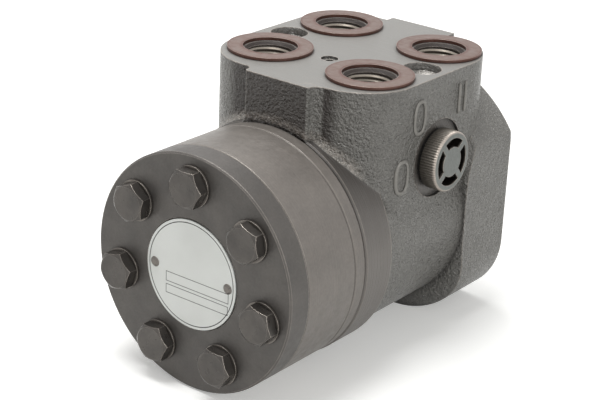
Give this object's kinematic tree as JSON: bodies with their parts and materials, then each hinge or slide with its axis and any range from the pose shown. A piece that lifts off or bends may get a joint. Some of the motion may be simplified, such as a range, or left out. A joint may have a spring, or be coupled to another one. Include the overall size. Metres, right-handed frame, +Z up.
{
  "type": "orbital steering unit",
  "caption": "Hydrostatic steering unit: cast housing with a port block, rotary valve, cardan shaft and orbiting gear set behind a bolted end cover.",
  "frame": {"origin": "centre of the column mounting face, on the shaft axis", "axes": "+Z up through the port face, +Y along the shaft out of the column mounting face, +X towards the side plug"},
  "size_m": [0.0994, 0.1536, 0.117],
  "materials": {
    "cast_housing": "phosphated casting with machined faces",
    "machined_steel": "turned, dark oiled",
    "hardened_steel": "ground",
    "seal_rubber": "matt",
    "bolt_steel": "dark zinc",
    "plate_metal": "satin",
    "bright_steel": "polished",
    "seal_plastic": "smooth",
    "copper_washer": "dull copper",
    "plug_metal": "satin"
  },
  "bodies": {
    "housing": {"housing": "cast_housing", "distributor_plate": "machined_steel", "gear_ring": "machined_steel", "end_cover": "machined_steel", "plate_seal": "seal_rubber", "ring_seal": "seal_rubber", "cover_seal": "seal_rubber", "cover_bolts": "bolt_steel", "check_valve_bolt": "bolt_steel", "bolt_washers": "bolt_steel", "name_plate": "plate_metal", "drive_rivets": "bright_steel", "bearing_outer_race": "hardened_steel", "dust_seal": "seal_rubber", "shaft_seal": "seal_plastic", "shaft_seal_ring": "seal_rubber", "port_washers": "copper_washer", "shock_valve_plugs": "bright_steel", "pilot_set_screw": "bolt_steel", "left_shock_spring": "hardened_steel", "right_shock_spring": "hardened_steel", "threaded_bush": "machined_steel", "rolled_pin": "hardened_steel", "relief_seat": "hardened_steel", "relief_spring": "hardened_steel", "relief_adjusting_screw": "machined_steel"},
    "sleeve_set": {"sleeve": "hardened_steel", "cross_pin": "hardened_steel", "flat_springs": "hardened_steel", "arched_springs": "hardened_steel", "spring_ring": "machined_steel", "bearing_inner_race": "hardened_steel"},
    "spool": {"spool": "hardened_steel"},
    "needle_bearing": {"needle_cage": "machined_steel", "bearing_needles": "hardened_steel"},
    "orbit": {"cardan_spacer": "machined_steel"},
    "rotor": {"rotor": "hardened_steel"},
    "cardan_shaft": {"cardan_shaft": "hardened_steel"},
    "plug_seal": {"plug_seal": "seal_rubber"},
    "side_plug": {"side_plug": "plug_metal"},
    "relief_poppet": {"relief_poppet": "hardened_steel"},
    "left_shock_ball": {"left_shock_ball": "bright_steel"},
    "right_shock_ball": {"right_shock_ball": "bright_steel"},
    "check_ball": {"check_ball": "bright_steel"},
    "suction_ball": {"suction_ball": "bright_steel"}
  },
  "joints": [
    {"name": "sleeve_turn", "type": "hinge", "parent": "housing", "child": "sleeve_set", "pos_m": [0, -0.06, 0], "axis": [0, 1, 0], "continuous": true},
    {"name": "spool_deflection", "type": "hinge", "parent": "sleeve_set", "child": "spool", "pos_m": [0, -0.06, 0], "axis": [0, 1, 0], "range_deg": [-8, 8], "stiffness_Nm_per_rad": 2, "deforming": ["flat_springs", "arched_springs"]},
    {"name": "needle_roll", "type": "hinge", "parent": "housing", "child": "needle_bearing", "pos_m": [0, -0.017, 0], "axis": [0, 1, 0], "continuous": true},
    {"name": "rotor_orbit", "type": "hinge", "parent": "housing", "child": "orbit", "pos_m": [0, -0.1231, 0], "axis": [0, 1, 0], "continuous": true},
    {"name": "rotor_spin", "type": "hinge", "parent": "orbit", "child": "rotor", "pos_m": [0, -0.1231, 0.0032], "axis": [0, 1, 0], "continuous": true},
    {"name": "cardan_spin", "type": "hinge", "parent": "orbit", "child": "cardan_shaft", "pos_m": [0, -0.038, 0], "axis": [0, 0.9993, -0.0376], "continuous": true},
    {"name": "plug_travel", "type": "slide", "parent": "housing", "child": "plug_seal", "axis": [1, 0, 0], "range_m": [0, 0.009]},
    {"name": "plug_turn", "type": "hinge", "parent": "plug_seal", "child": "side_plug", "pos_m": [0.044, -0.0515, 0.0326], "axis": [1, 0, 0], "range_deg": [0, 2160]},
    {"name": "relief_lift", "type": "slide", "parent": "housing", "child": "relief_poppet", "axis": [1, 0, 0], "range_m": [0, 0.002], "stiffness_N_per_m": 400, "deforming": ["relief_spring"]},
    {"name": "left_shock_lift", "type": "slide", "parent": "housing", "child": "left_shock_ball", "axis": [0, 0, 1], "range_m": [0, 0.0015], "stiffness_N_per_m": 150, "deforming": ["left_shock_spring"]},
    {"name": "right_shock_lift", "type": "slide", "parent": "housing", "child": "right_shock_ball", "axis": [0, 0, 1], "range_m": [0, 0.0015], "stiffness_N_per_m": 150, "deforming": ["right_shock_spring"]},
    {"name": "check_ball_lift", "type": "slide", "parent": "housing", "child": "check_ball", "axis": [0, 0, 1], "range_m": [0, 0.0018]},
    {"name": "suction_ball_lift", "type": "slide", "parent": "housing", "child": "suction_ball", "axis": [0, -1, 0], "range_m": [0, 0.0012]}
  ],
  "couplings": [
    {"joint": "needle_roll", "follows": "sleeve_turn", "ratio": 0.5},
    {"joint": "rotor_orbit", "follows": "sleeve_turn", "ratio": -6},
    {"joint": "rotor_spin", "follows": "sleeve_turn", "ratio": 7},
    {"joint": "cardan_spin", "follows": "sleeve_turn", "ratio": 7},
    {"joint": "plug_turn", "follows": "plug_travel", "rad_per_m": 4188.8}
  ]
}
